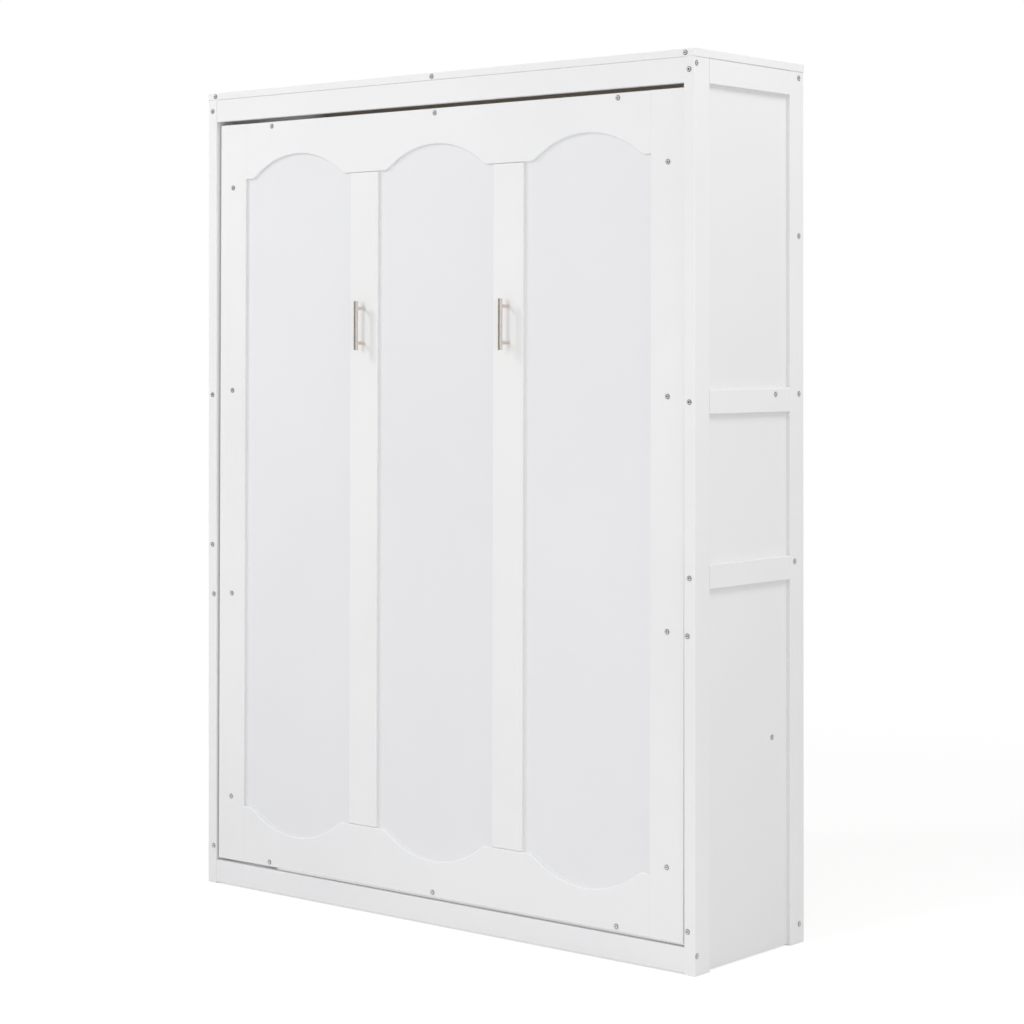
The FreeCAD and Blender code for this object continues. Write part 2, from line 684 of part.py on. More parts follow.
def gas_struts():
    """Tube with a fixed eye and a rod with a pinned eye, drawn out as far as the closed bed does."""
    drawn_length, strut_angle = strut_line(-rest_lean)
    pressed_length = strut_line(open_angle)[0]
    tube_end = pressed_length - strut_eye_radius - strut_end_gap
    gland_start = tube_end - strut_gland
    inner_radius = strut_tube_radius - strut_tube_wall
    cavity_start = strut_tube_start + strut_tube_wall
    eye_start = Vector(-strut_eye_width / 2, 0, 0)
    eye = Part.makeCylinder(strut_eye_radius, strut_eye_width, eye_start, along_x)
    eye_bore = Part.makeCylinder(strut_pin_radius + running_clearance, strut_eye_width, eye_start, along_x)
    neck = Part.makeCylinder(strut_neck_radius, strut_tube_start)
    tube = Part.makeCylinder(strut_tube_radius, tube_end - strut_tube_start, along_z * strut_tube_start)
    cavity = Part.makeCylinder(inner_radius, gland_start - cavity_start, along_z * cavity_start)
    bore_radius = strut_rod_radius + running_clearance
    gland_bore = Part.makeCylinder(bore_radius, strut_gland, along_z * gland_start)
    cylinder = eye.fuse([neck, tube]).removeSplitter().cut(eye_bore).cut(cavity).cut(gland_bore)
    piston_start = gland_start - strut_reserve - strut_piston_length
    piston_radius = inner_radius - strut_piston_gap
    piston = Part.makeCylinder(piston_radius, strut_piston_length, along_z * piston_start)
    rod = Part.makeCylinder(strut_rod_radius, drawn_length - piston_start, along_z * piston_start)
    end_eye = Part.makeCylinder(strut_eye_radius, strut_eye_width,
                                Vector(-strut_eye_width / 2, 0, drawn_length), along_x)
    pin_length = strut_plane - bracket_face - strut_pin_gap
    for side, hand in hands:
        pin = Part.makeCylinder(strut_pin_radius, pin_length, Vector(0, 0, drawn_length), along_x * -side)
        moving = rod.fuse([piston, end_eye, pin]).removeSplitter()
        for name, solid in (("_strut_cylinder", cylinder.copy()), ("_strut_rod", moving)):
            solid.rotate(Vector(0, 0, 0), along_x, strut_angle)
            solid.translate(Vector(side * strut_plane, strut_anchor_depth, strut_anchor_level))
            pieces[hand + name] = solid


def lean_bed_back(names):
    """Leans the bed back about its pivot, as it rests in the closed cabinet."""
    axis_point = Vector(0, pivot_depth, pivot_level)
    for name in names:
        pieces[name].rotate(axis_point, along_x, -rest_lean)


side_walls()
side_bolts()
front_rails()
back_wall()
mattress_rails()
top()
pivot_plates()
strut_anchors()
door_stops()
cabinet_names = set(pieces)
bed_front()
mattress_box()
bed_front_bolts()
bed_brackets()
legs()
for group, solids in groups.items():
    pieces[group] = Part.makeCompound(solids)
cabinet_names.update(("cabinet_bolts", "bracket_screws"))
lean_bed_back([name for name in pieces if name not in cabinet_names])
gas_struts()

front_reach = pieces["left_handle"].BoundBox.YMin
origin = Vector(0, (front_reach + cabinet_depth) / 2, 0)
os.makedirs("parts", exist_ok=True)
for name, shape in pieces.items():
    shape.translate(origin * -1)
    shape.exportStep("parts/" + name + ".step")

drawn_length, drawn_angle = strut_line(-rest_lean)
pressed_length, pressed_angle = strut_line(open_angle)
print("origin behind the front of the posts", round(origin.y, 4))
print("strut drawn", round(drawn_length, 4), "pressed", round(pressed_length, 4))
print("strut angle drawn", round(drawn_angle, 5), "pressed", round(pressed_angle, 5))
print("pieces", len(pieces))
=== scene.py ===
import math

import bmesh
import bpy
from mathutils import Matrix, Vector


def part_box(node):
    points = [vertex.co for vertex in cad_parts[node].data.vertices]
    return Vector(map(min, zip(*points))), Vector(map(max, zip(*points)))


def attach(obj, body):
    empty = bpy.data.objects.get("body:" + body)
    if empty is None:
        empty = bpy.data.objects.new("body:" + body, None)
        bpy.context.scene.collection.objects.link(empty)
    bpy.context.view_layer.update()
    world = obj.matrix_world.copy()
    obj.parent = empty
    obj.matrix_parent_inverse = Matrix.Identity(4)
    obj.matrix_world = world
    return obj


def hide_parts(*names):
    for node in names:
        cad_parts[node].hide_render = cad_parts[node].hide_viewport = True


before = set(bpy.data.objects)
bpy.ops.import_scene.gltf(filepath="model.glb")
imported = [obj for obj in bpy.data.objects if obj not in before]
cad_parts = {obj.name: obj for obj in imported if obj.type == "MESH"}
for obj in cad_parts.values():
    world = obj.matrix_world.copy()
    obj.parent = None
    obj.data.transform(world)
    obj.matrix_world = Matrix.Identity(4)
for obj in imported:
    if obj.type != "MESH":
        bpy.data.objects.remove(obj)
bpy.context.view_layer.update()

# Posts and side rails of the cabinet
# Planed softwood sticks, filled, sanded and sprayed with satin white paint before assembly.
# The grain runs along each stick and still shows faintly as long shallow ridges under the paint.
MM = 0.001
sides = ("left", "right")
paint_bright = (0.850, 0.850, 0.848, 1.0)
paint_shade = (0.820, 0.820, 0.820, 1.0)
paint_roughness = (0.50, 0.64)
paint_gloss = 0.25
paint_clouds_per_metre = 1.6
paint_cells_per_metre = 420.0
paint_skin_height = 0.04 * MM
ridge_height = 0.06 * MM
ridges_along = 1.2
ridges_across = 70.0
grain_along_x = (ridges_along, ridges_across, ridges_across)
grain_along_y = (ridges_across, ridges_along, ridges_across)
grain_along_z = (ridges_across, ridges_across, ridges_along)
noise_low = 0.3
noise_high = 0.7


def new_finish(name):
    """Material with its shader."""
    finish = bpy.data.materials.new(name)
    finish.use_nodes = True
    return finish, finish.node_tree.nodes["Principled BSDF"]


def add_node(finish, kind, values=()):
    """Node of a material with some of its inputs set, given as (input, value) pairs."""
    node = finish.node_tree.nodes.new(kind)
    for socket, value in values:
        node.inputs[socket].default_value = value
    return node


def join(finish, source, target):
    """Link from an output to an input of a material's nodes."""
    finish.node_tree.links.new(source, target)


def evenly(waves):
    """The same number of waves per metre along each axis."""
    return (waves, waves, waves)


def noise(finish, waves, detail, roughness=0.55, distortion=0.0):
    """Noise over the piece's own coordinates, with so many waves per metre along each axis."""
    place = add_node(finish, "ShaderNodeTexCoord")
    scale = add_node(finish, "ShaderNodeMapping", [("Scale", waves)])
    pattern = add_node(finish, "ShaderNodeTexNoise", [("Scale", 1.0), ("Detail", detail)])
    pattern.inputs["Roughness"].default_value = roughness
    pattern.inputs["Distortion"].default_value = distortion
    join(finish, place.outputs["Object"], scale.inputs["Vector"])
    join(finish, scale.outputs["Vector"], pattern.inputs["Vector"])
    return pattern.outputs["Fac"]


def ramp(finish, value, stops):
    """Colours blended over a value, given as (position, colour) pairs in rising order."""
    blend = add_node(finish, "ShaderNodeValToRGB")
    points = blend.color_ramp.elements
    for index, (position, colour) in enumerate(stops):
        point = points[index] if index < len(points) else points.new(position)
        point.position = position
        point.color = colour
    join(finish, value, blend.inputs["Fac"])
    return blend.outputs["Color"]


def spread(finish, value, ends):
    """A noise spread between two ends, from the levels that most of it lies between."""
    span = add_node(finish, "ShaderNodeMapRange", [("From Min", noise_low), ("From Max", noise_high)])
    span.inputs["To Min"].default_value = ends[0]
    span.inputs["To Max"].default_value = ends[1]
    join(finish, value, span.inputs["Value"])
    return span.outputs["Result"]


def relief(finish, value, height, below=None):
    """Bump of a height in metres, on top of another bump where one is given."""
    bump = add_node(finish, "ShaderNodeBump", [("Strength", 1.0), ("Distance", height)])
    join(finish, value, bump.inputs["Height"])
    if below:
        join(finish, below, bump.inputs["Normal"])
    return bump.outputs["Normal"]


def coat(finish, shader, colour, roughness, normal):
    """Gives a shader its colour, its roughness and its relief."""
    join(finish, colour, shader.inputs["Base Color"])
    join(finish, roughness, shader.inputs["Roughness"])
    join(finish, normal, shader.inputs["Normal"])


def painted_timber(name, grain, bright, shade):
    """Satin paint: cloudy whites, faint grain ridges and the fine skin left by a spray gun."""
    finish, shader = new_finish(name)
    clouds = noise(finish, evenly(paint_clouds_per_metre), detail=3.0)
    ridges = noise(finish, grain, detail=4.0)
    skin = noise(finish, evenly(paint_cells_per_metre), detail=2.0)
    tone = ramp(finish, clouds, [(0.32, shade), (0.62, bright)])
    sprayed = relief(finish, skin, paint_skin_height)
    grained = relief(finish, ridges, ridge_height, sprayed)
    coat(finish, shader, tone, spread(finish, ridges, paint_roughness), grained)
    shader.inputs["Specular IOR Level"].default_value = paint_gloss
    return finish


def dress(finish, *names):
    """Gives CAD nodes a finish."""
    for name in names:
        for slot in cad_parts[name].material_slots:
            slot.material = finish


upright_paint = painted_timber("white_paint_upright", grain_along_z, paint_bright, paint_shade)
depth_paint = painted_timber("white_paint_depth", grain_along_y, paint_bright, paint_shade)
for side in sides:
    dress(upright_paint, side + "_front_post", side + "_back_post")
    dress(depth_paint, side + "_top_side_rail", side + "_mid_side_rails")

# Side panels and pivot boards
# Thin sheets slid into grooves above, and a thick board below that carries the bed's pivot.
# Both are smooth white-faced board, a little flatter than the painted timbers.
side_board_bright = (0.832, 0.832, 0.832, 1.0)
side_board_shade = (0.812, 0.812, 0.813, 1.0)
board_roughness = (0.50, 0.62)
board_gloss = 0.22
board_clouds_per_metre = 1.1
board_cells_per_metre = 260.0
board_texture_height = 0.03 * MM


def white_board(name, bright, shade):
    """Smooth board: almost even white with a fine pressed texture."""
    finish, shader = new_finish(name)
    clouds = noise(finish, evenly(board_clouds_per_metre), detail=2.0)
    pressed = noise(finish, evenly(board_cells_per_metre), detail=3.0)
    tone = ramp(finish, clouds, [(0.35, shade), (0.65, bright)])
    texture = relief(finish, pressed, board_texture_height)
    coat(finish, shader, tone, spread(finish, pressed, board_roughness), texture)
    shader.inputs["Specular IOR Level"].default_value = board_gloss
    return finish


side_board = white_board("white_side_board", side_board_bright, side_board_shade)
for side in sides:
    dress(side_board, side + "_side_panels", side + "_pivot_board")

# Header, plinth, the rails behind the mattress and the door stops
# Boards 20 mm thick and 64 mm high between the two sides, held by one bolt at each end, and a small
# block on each front post. The satin paint of the boards is slightly cooler, with its grain across.
cool_paint_bright = (0.848, 0.848, 0.856, 1.0)
cool_paint_shade = (0.818, 0.818, 0.828, 1.0)
across_paint = painted_timber("white_paint_across", grain_along_x, cool_paint_bright, cool_paint_shade)
dress(across_paint, "header_rail", "plinth_rail", "upper_mattress_rail", "lower_mattress_rail")
dress(upright_paint, "door_stops")

# Back rails
# Five rails 36 mm thick between the back posts, one bolt at each end, next to the wall and hardly seen.
# They have a thin grey-brown primer, made darker as painted shade for the dim inside of the cabinet, and it
# shows through the gap above the bed front.
# Both tones are darker than the cabinet's white as painted shade for the inside of the cabinet.
primer_painted_shade_bright = (0.54, 0.505, 0.465, 1.0)
primer_painted_shade_dark = (0.48, 0.450, 0.415, 1.0)
primer_with_painted_shade = painted_timber("primer_painted_shade_across", grain_along_x, primer_painted_shade_bright, primer_painted_shade_dark)
for level in ("bottom", "low", "middle", "high", "top"):
    dress(primer_with_painted_shade, "back_" + level + "_rail")

# Back panels
# Two sheets of thin hardboard side by side behind the lower three back rails; above, the back is open.
# The raw board is a pale grey-brown mat of pressed fibres.
fibre_pale = (0.74, 0.71, 0.66, 1.0)
fibre_dark = (0.62, 0.58, 0.52, 1.0)
unstained = (1.0, 1.0, 1.0, 1.0)
mat_waves = (90.0, 90.0, 30.0)
fleck_waves = (700.0, 700.0, 240.0)
fleck_strength = 0.35
fleck_height = 0.08 * MM
hardboard_roughness = (0.62, 0.80)


def stained(finish, colour, stain, strength):
    """A colour multiplied by another one, at a strength from 0 to 1."""
    mix = add_node(finish, "ShaderNodeMix", [("Factor", strength)])
    mix.data_type = "RGBA"
    mix.blend_type = "MULTIPLY"
    first, second = [socket for socket in mix.inputs if socket.type == "RGBA"]
    join(finish, colour, first)
    join(finish, stain, second)
    return [socket for socket in mix.outputs if socket.type == "RGBA"][0]


def pressed_fibre(name):
    """Hardboard: tangled fibres with darker flecks."""
    finish, shader = new_finish(name)
    fibres = noise(finish, mat_waves, detail=6.0, roughness=0.65, distortion=1.5)
    flecks = noise(finish, fleck_waves, detail=4.0)
    mat = ramp(finish, fibres, [(0.30, fibre_dark), (0.60, fibre_pale)])
    fleck_tone = ramp(finish, flecks, [(0.35, fibre_dark), (0.55, unstained)])
    tone = stained(finish, mat, fleck_tone, fleck_strength)
    roughness = spread(finish, flecks, hardboard_roughness)
    coat(finish, shader, tone, roughness, relief(finish, flecks, fleck_height))
    return finish


dress(pressed_fibre("hardboard_back"), "back_panels")

# Top
# A board with a strip bolted along its front edge, both painted like the header.
# It lies on the posts and stands out 2 mm past them at each side.
dress(across_paint, "top_board", "top_front_strip")

# Connector bolts of the cabinet
# Zinc-plated steel bolts with low domed heads, a hexagon socket and a plain shank.
# Each goes through one timber into the end of the next; the heads show on the faces.
head_radius = 7.0 * MM
head_height = 2.4 * MM
head_rim = 0.7 * MM
head_flat = 3.4 * MM
dome_steps = 4
painted_shade_rim_radius = 5.0 * MM
shank_radius = 3.0 * MM
shank_tip_radius = 2.4 * MM
shank_tip_length = 0.8 * MM
socket_sides = 6
socket_corner = 2.4 * MM
socket_depth = 1.7 * MM
socket_lip = 0.3 * MM
turned_steps = 24
merge_distance = 0.01 * MM
end_ring_depth = 0.1 * MM
crease_angle = math.radians(35.0)
head_bright = (0.84, 0.87, 0.88, 1.0)
head_dull = (0.72, 0.75, 0.76, 1.0)
# The outer rim of each head and its socket get a darker zinc: painted shade for the shadow at the head's
# edge and in its socket.
painted_shade_rim_bright = (0.34, 0.36, 0.37, 1.0)
painted_shade_rim_dull = (0.25, 0.27, 0.28, 1.0)
bolt_cells_per_metre = 900.0
zinc_roughness = (0.30, 0.46)
zinc_haze_height = 0.03 * MM


def zinc_plate(name, cells_per_metre, bright, dull):
    """Zinc: patches of slightly different brightness and a soft metal sheen."""
    finish, shader = new_finish(name)
    place = add_node(finish, "ShaderNodeTexCoord")
    patches = add_node(finish, "ShaderNodeTexVoronoi", [("Scale", cells_per_metre)])
    grey = add_node(finish, "ShaderNodeSeparateColor")
    join(finish, place.outputs["Object"], patches.inputs["Vector"])
    join(finish, patches.outputs["Color"], grey.inputs["Color"])
    haze = noise(finish, evenly(2 * cells_per_metre), detail=4.0)
    tone = ramp(finish, grey.outputs["Red"], [(0.0, dull), (1.0, bright)])
    coat(finish, shader, tone, spread(finish, haze, zinc_roughness), relief(finish, haze, zinc_haze_height))
    shader.inputs["Metallic"].default_value = 1.0
    return finish


def turned(profile):
    """Round body spun about Z from points (radius, height), open where its last point is off the axis."""
    body = bmesh.new()
    points = [body.verts.new((radius, 0.0, height)) for radius, height in profile]
    edges = [body.edges.new(pair) for pair in zip(points, points[1:])]
    bmesh.ops.spin(body, geom=points + edges, cent=(0, 0, 0), axis=(0, 0, 1), angle=2 * math.pi,
                   steps=turned_steps, use_merge=True)
    bmesh.ops.remove_doubles(body, verts=body.verts, dist=merge_distance)
    return body


def sink_socket(body, corner, depth):
    """Closes the open top of a turned body, at z = 0, with a hexagon socket."""
    rim = [edge for edge in body.edges if edge.is_boundary]
    made = bmesh.ops.create_circle(body, segments=socket_sides, radius=corner)
    mouth = list({edge for vertex in made["verts"] for edge in vertex.link_edges})
    split = bmesh.ops.subdivide_edges(body, edges=mouth, cuts=turned_steps // socket_sides - 1)
    mouth = [item for item in split["geom"] if isinstance(item, bmesh.types.BMEdge)]
    walls = bmesh.ops.extrude_edge_only(body, edges=mouth)
    floor_points = [item for item in walls["geom"] if isinstance(item, bmesh.types.BMVert)]
    wall_edges = [item for item in walls["geom"] if isinstance(item, bmesh.types.BMEdge)]
    floor_edges = [edge for edge in wall_edges if edge.is_boundary]
    bmesh.ops.translate(body, verts=floor_points, vec=(0, 0, -depth))
    bmesh.ops.edgeloop_fill(body, edges=floor_edges)
    bmesh.ops.bridge_loops(body, edges=rim + mouth)
    bmesh.ops.recalc_face_normals(body, faces=body.faces)
    return body


def connector_bolt(length):
    """Bolt along Z with the top of its head at z = 0, its rim and socket in the second material, a darker
    zinc that is painted shade.
    """
    seat = -head_height
    dome_foot = seat + head_rim
    profile = [(0.0, -length), (shank_tip_radius, -length), (shank_radius, shank_tip_length - length)]
    profile += [(shank_radius, seat), (head_radius, seat), (head_radius, dome_foot)]
    for step in range(1, dome_steps + 1):
        turn = step / dome_steps * math.pi / 2
        radius = head_flat + (head_radius - head_flat) * math.cos(turn)
        profile.append((radius, dome_foot * (1 - math.sin(turn))))
    profile.append((socket_corner + socket_lip, 0.0))
    fastener = sink_socket(turned(profile), socket_corner, socket_depth)
    for face in fastener.faces:
        middle = face.calc_center_median()
        reach = math.hypot(middle.x, middle.y)
        in_socket = reach < socket_corner and middle.z > seat
        # Faces out on the rim or down in the socket take the darker zinc, as painted shade.
        face.material_index = 1 if reach > painted_shade_rim_radius or in_socket else 0
    return fastener


def fastener_ends(points):
    """Middle of the head's top, direction out of it and length of a fastener, from its points."""
    spans = [max(p[axis] for p in points) - min(p[axis] for p in points) for axis in range(3)]
    long_axis = spans.index(max(spans))
    heights = [p[long_axis] for p in points]
    ends = []
    for level in (min(heights), max(heights)):
        ring = [p for p in points if abs(p[long_axis] - level) < end_ring_depth]
        centre = sum(ring, Vector()) / len(ring)
        width = max((p - centre).length for p in ring)
        ends.append((width, centre))
    tail, head = [centre for width, centre in sorted(ends, key=lambda end: end[0])]
    return head, (head - tail).normalized(), (head - tail).length


def fastener_places(node_name):
    """What fastener_ends gives for each fastener in a CAD node, found by following its edges."""
    solid = bmesh.new()
    solid.from_mesh(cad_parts[node_name].data)
    bmesh.ops.remove_doubles(solid, verts=solid.verts, dist=merge_distance)
    waiting = set(solid.verts)
    places = []
    while waiting:
        border = [waiting.pop()]
        points = []
        while border:
            vertex = border.pop()
            points.append(vertex.co.copy())
            for edge in vertex.link_edges:
                other = edge.other_vert(vertex)
                if other in waiting:
                    waiting.remove(other)
                    border.append(other)
        places.append(fastener_ends(points))
    solid.free()
    return places


def add_shape(target, shape):
    """Moves a mesh into another one and returns the points that this adds."""
    passing = bpy.data.meshes.new("passing_shape")
    shape.to_mesh(passing)
    shape.free()
    first = len(target.verts)
    target.from_mesh(passing)
    bpy.data.meshes.remove(passing)
    target.verts.ensure_lookup_table()
    return target.verts[first:]


def drive_in(target, fastener, tip, outward):
    """Adds a fastener to a mesh, with the top of its head at a place."""
    turn = Vector((0, 0, 1)).rotation_difference(outward).to_matrix().to_4x4()
    points = add_shape(target, fastener)
    bmesh.ops.transform(target, matrix=Matrix.Translation(tip) @ turn, verts=points)


def make_object(name, body, materials):
    """Object at the origin from a mesh and its materials."""
    mesh = bpy.data.meshes.new(name)
    body.to_mesh(mesh)
    body.free()
    for material in materials:
        mesh.materials.append(material)
    made = bpy.data.objects.new(name, mesh)
    bpy.context.scene.collection.objects.link(made)
    return made


def finish_piece(name, body, materials, carrier, replaced):
    """Piece with smooth faces and creased edges, on a body, in place of a CAD node."""
    for face in body.faces:
        face.smooth = True
    for edge in body.edges:
        edge.smooth = not edge.is_manifold or edge.calc_face_angle() < crease_angle
    piece = make_object(name, body, materials)
    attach(piece, carrier)
    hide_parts(replaced)


bolt_zinc = zinc_plate("zinc_bolt", bolt_cells_per_metre, head_bright, head_dull)
# A darker zinc for the rims and sockets of the heads, as painted shade.
bolt_painted_shade = zinc_plate("zinc_bolt_painted_shade", bolt_cells_per_metre, painted_shade_rim_bright, painted_shade_rim_dull)
cabinet_bolts = bmesh.new()
for tip, outward, length in fastener_places("cabinet_bolts"):
    drive_in(cabinet_bolts, connector_bolt(length), tip, outward)
finish_piece("cabinet_connector_bolts", cabinet_bolts, (bolt_zinc, bolt_painted_shade), "cabinet",
             "cabinet_bolts")

# Pivot plates, strut anchors and bed brackets
# Steel plates 5 mm thick with rounded corners, each with a welded stud, pin or boss.
# They are zinc plated after welding and screwed to the timber with countersunk screws.
plate_bright = (0.62, 0.66, 0.66, 1.0)
plate_dull = (0.46, 0.50, 0.50, 1.0)
plate_cells_per_metre = 160.0
plate_zinc = zinc_plate("zinc_plate", plate_cells_per_metre, plate_bright, plate_dull)
for side in sides:
    dress(plate_zinc, side + "_pivot_plate", side + "_strut_anchor", side + "_bed_bracket")
dress(bolt_zinc, "bracket_screws")

# Bed front
# A frame of stiles, mullions and two arched rails, 18 mm thick, that closes the cabinet.
# The timbers are painted like the cabinet's; three cooler white panels are let into their backs.
door_board_bright = (0.806, 0.806, 0.822, 1.0)
door_board_shade = (0.786, 0.786, 0.802, 1.0)
dress(upright_paint, "door_left_stile", "door_right_stile", "door_left_mullion", "door_right_mullion")
dress(across_paint, "door_top_rail", "door_bottom_rail")
door_board = white_board("white_door_board", door_board_bright, door_board_shade)
dress(door_board, "door_left_panel", "door_centre_panel", "door_right_panel")

# Bolts of the bed front and screws of its brackets
# The same domed bolts hold the frame to the mattress box behind it.
# Short countersunk screws, also zinc plated, hold the brackets to the box.
screw_head_radius = 5.0 * MM
screw_head_depth = 2.5 * MM
screw_shank_radius = 2.5 * MM
screw_point_length = 2.0 * MM
screw_socket_corner = 1.8 * MM
screw_socket_depth = 1.4 * MM
shortest_bolt = 40.0 * MM


def countersunk_screw(length):
    """Screw along Z with its flat head at z = 0 and a pointed end."""
    profile = [(0.0, -length), (screw_shank_radius, screw_point_length - length)]
    profile += [(screw_shank_radius, -screw_head_depth), (screw_head_radius, 0.0)]
    profile.append((screw_socket_corner + socket_lip, 0.0))
    return sink_socket(turned(profile), screw_socket_corner, screw_socket_depth)


bed_bolts = bmesh.new()
for tip, outward, length in fastener_places("bed_bolts"):
    fastener = connector_bolt(length) if length > shortest_bolt else countersunk_screw(length)
    drive_in(bed_bolts, fastener, tip, outward)
finish_piece("bed_front_bolts", bed_bolts, (bolt_zinc, bolt_painted_shade), "bed", "bed_bolts")

# Handles
# Bar pulls turned from steel rod and plated in brushed nickel: a bar on two round posts.
# Each is screwed through a mullion from behind; the post ends in a slightly wider foot.
bed_lean = math.radians(0.23)
bar_radius = 6.0 * MM
bar_length = 136.0 * MM
bar_chamfer = 1.0 * MM
post_radius = 4.6 * MM
post_foot_radius = 5.0 * MM
post_foot_height = 3.0 * MM
post_foot_taper = 0.5 * MM
post_spacing = 96.0 * MM
post_reach = 32.0 * MM
nickel_light = (0.76, 0.70, 0.65, 1.0)
nickel_dark = (0.65, 0.585, 0.535, 1.0)
nickel_roughness = (0.20, 0.36)
brushing = 0.5
scratch_waves = (3000.0, 3000.0, 60.0)
scratch_height = 0.02 * MM


def brushed_nickel(name):
    """Warm grey metal with fine scratches along the bar."""
    finish, shader = new_finish(name)
    scratches = noise(finish, scratch_waves, detail=3.0, roughness=0.5)
    tone = ramp(finish, scratches, [(0.30, nickel_dark), (0.65, nickel_light)])
    scratched = relief(finish, scratches, scratch_height)
    coat(finish, shader, tone, spread(finish, scratches, nickel_roughness), scratched)
    shader.inputs["Metallic"].default_value = 1.0
    shader.inputs["Anisotropic"].default_value = brushing
    return finish


def bar_pull(middle):
    """Bar upright through a place, on posts that reach back to the door, leaned with the bed."""
    half = bar_length / 2
    end_radius = bar_radius - bar_chamfer
    handle = turned([(0.0, -half), (end_radius, -half), (bar_radius, bar_chamfer - half),
                     (bar_radius, half - bar_chamfer), (end_radius, half), (0.0, half)])
    foot_start = post_reach - post_foot_height
    for level in (-post_spacing / 2, post_spacing / 2):
        post = turned([(0.0, 0.0), (post_radius, 0.0), (post_radius, foot_start - post_foot_taper),
                       (post_foot_radius, foot_start), (post_foot_radius, post_reach), (0.0, post_reach)])
        bmesh.ops.rotate(post, verts=post.verts, matrix=Matrix.Rotation(-math.pi / 2, 3, "X"))
        bmesh.ops.translate(post, verts=post.verts, vec=(0, 0, level))
        add_shape(handle, post)
    bmesh.ops.rotate(handle, verts=handle.verts, matrix=Matrix.Rotation(-bed_lean, 3, "X"))
    bmesh.ops.translate(handle, verts=handle.verts, vec=middle)
    bmesh.ops.recalc_face_normals(handle, faces=handle.faces)
    return handle


nickel = brushed_nickel("brushed_nickel_bar")
for side in sides:
    # The front of the handle's box is the lower end of the bar, which leans back with the bed.
    low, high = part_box(side + "_handle")
    middle = (low + high) / 2
    lean_depth = (bar_length / 2 - bar_chamfer) * math.sin(bed_lean)
    middle.y = low.y + bar_radius * math.cos(bed_lean) + lean_depth
    finish_piece(side + "_bar_handle", bar_pull(middle), (nickel,), "bed",
                 side + "_handle")

# Mattress box and slats
# Painted boards joined at their ends behind the front make a tray for the mattress.
# The ledges and the beam along it, and the slats across them, are bare planed pine.
pine_pale = (0.80, 0.64, 0.43, 1.0)
pine_warm = (0.68, 0.49, 0.29, 1.0)
pine_late = (0.52, 0.33, 0.17, 1.0)
pine_roughness = (0.50, 0.68)
rings_along = 0.9
rings_across = 22.0
fibres_along = 8.0
fibres_across = 600.0
fibre_strength = 0.30
fibre_height = 0.08 * MM


def bare_pine(name, ring_waves, fibre_waves):
    """Pine: wandering growth rings along the board and fine fibres."""
    finish, shader = new_finish(name)
    rings = noise(finish, ring_waves, detail=5.0, roughness=0.5, distortion=2.2)
    fibres = noise(finish, fibre_waves, detail=4.0)
    wood = ramp(finish, rings, [(0.30, pine_pale), (0.48, pine_warm), (0.54, pine_late), (0.58, pine_pale)])
    fibre_tone = ramp(finish, fibres, [(0.30, pine_warm), (0.60, unstained)])
    tone = stained(finish, wood, fibre_tone, fibre_strength)
    coat(finish, shader, tone, spread(finish, fibres, pine_roughness), relief(finish, fibres, fibre_height))
    return finish


pine_across = bare_pine("pine_across", (rings_along, rings_across, rings_across),
                        (fibres_along, fibres_across, fibres_across))
pine_upright = bare_pine("pine_upright", (rings_across, rings_across, rings_along),
                         (fibres_across, fibres_across, fibres_along))
dress(upright_paint, "bed_left_rail", "bed_right_rail")
dress(across_paint, "bed_head_rail", "bed_foot_rail")
dress(pine_across, "slats")
dress(pine_upright, "left_slat_ledge", "right_slat_ledge", "centre_beam")

# Gas struts
# Steel tubes sprayed black, with welded eyes, and ground rods plated in hard chrome.
# One on each side pushes the bed up; the tube turns on the anchor, and the rod ends at the bed bracket.
enamel_black = (0.018, 0.018, 0.020, 1.0)
enamel_worn = (0.032, 0.032, 0.034, 1.0)
enamel_roughness = (0.28, 0.42)
peel_cells_per_metre = 480.0
peel_height = 0.05 * MM
wear_patches_per_metre = 30.0
chrome_light = (0.80, 0.81, 0.82, 1.0)
chrome_dark = (0.68, 0.69, 0.71, 1.0)
chrome_roughness = (0.06, 0.14)
grinding_waves = (60.0, 900.0, 900.0)


def black_enamel(name):
    """Black sprayed enamel with a slight orange peel."""
    finish, shader = new_finish(name)
    peel = noise(finish, evenly(peel_cells_per_metre), detail=2.0)
    wear = noise(finish, evenly(wear_patches_per_metre), detail=4.0)
    tone = ramp(finish, wear, [(0.40, enamel_black), (0.70, enamel_worn)])
    coat(finish, shader, tone, spread(finish, wear, enamel_roughness), relief(finish, peel, peel_height))
    return finish


def hard_chrome(name):
    """Ground and plated rod: bright and smooth, with hair-fine marks."""
    finish, shader = new_finish(name)
    marks = noise(finish, grinding_waves, detail=3.0)
    tone = ramp(finish, marks, [(0.35, chrome_dark), (0.60, chrome_light)])
    join(finish, tone, shader.inputs["Base Color"])
    join(finish, spread(finish, marks, chrome_roughness), shader.inputs["Roughness"])
    shader.inputs["Metallic"].default_value = 1.0
    return finish


enamel = black_enamel("black_enamel")
chrome = hard_chrome("chromed_rod")
for side in sides:
    dress(enamel, side + "_strut_cylinder")
    dress(chrome, side + "_strut_rod")

# Legs
# Flat steel bars, black like the struts, that lie along the foot end while the bed is up.
# Each swings on a shouldered bolt and stands on the floor when the bed is down.
dress(enamel, "left_leg", "right_leg")
dress(bolt_zinc, "leg_bolts")

# Floor
# A pale studio floor that runs on past the picture. It keeps the soft shadow of the cabinet
# and takes the white of the background where a camera or a mirror-like surface sees it.
floor_size = 60.0
floor_bounce = (0.62, 0.62, 0.62, 1.0)
floor_seen = (0.46, 0.46, 0.46, 1.0)
floor_glow = 0.63
fade_start = 1.7
fade_end = 4.2
pure_white = (1.0, 1.0, 1.0, 1.0)
white_level = 1.0


def bare_finish(name):
    """Material with nothing but its output."""
    finish, shader = new_finish(name)
    finish.node_tree.nodes.remove(shader)
    return finish, finish.node_tree.nodes["Material Output"].inputs["Surface"]


